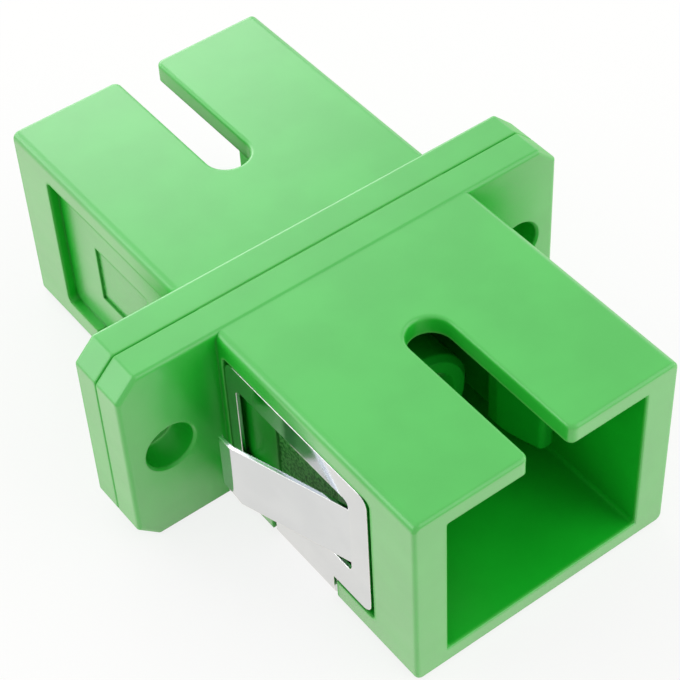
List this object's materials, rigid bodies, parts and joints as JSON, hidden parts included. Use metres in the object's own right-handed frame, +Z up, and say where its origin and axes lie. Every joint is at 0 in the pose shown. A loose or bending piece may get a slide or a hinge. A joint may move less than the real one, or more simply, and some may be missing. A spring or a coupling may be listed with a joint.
{
  "type": "sc fibre adapter",
  "caption": "Flanged simplex push-pull fibre adapter: two plug sockets back to back, ceramic alignment sleeve, screw ears and a sprung steel panel clip.",
  "frame": {"origin": "on the plug axis, in the flange's front (panel) face, midway between the two screw holes", "axes": "+X across the flange ears, +Y along the plug axis from the clip side to the rear socket, +Z up through the keyways"},
  "size_m": [0.022, 0.0276, 0.0096],
  "materials": {
    "green_housing": "satin",
    "green_insert": "satin",
    "zirconia": "polished",
    "spring_steel": "bright rolled"
  },
  "bodies": {
    "root": {"front_housing": "green_housing", "rear_housing": "green_housing", "front_latch_insert": "green_insert", "rear_latch_insert": "green_insert", "split_sleeve": "zirconia", "panel_clip": "spring_steel"}
  },
  "joints": []
}
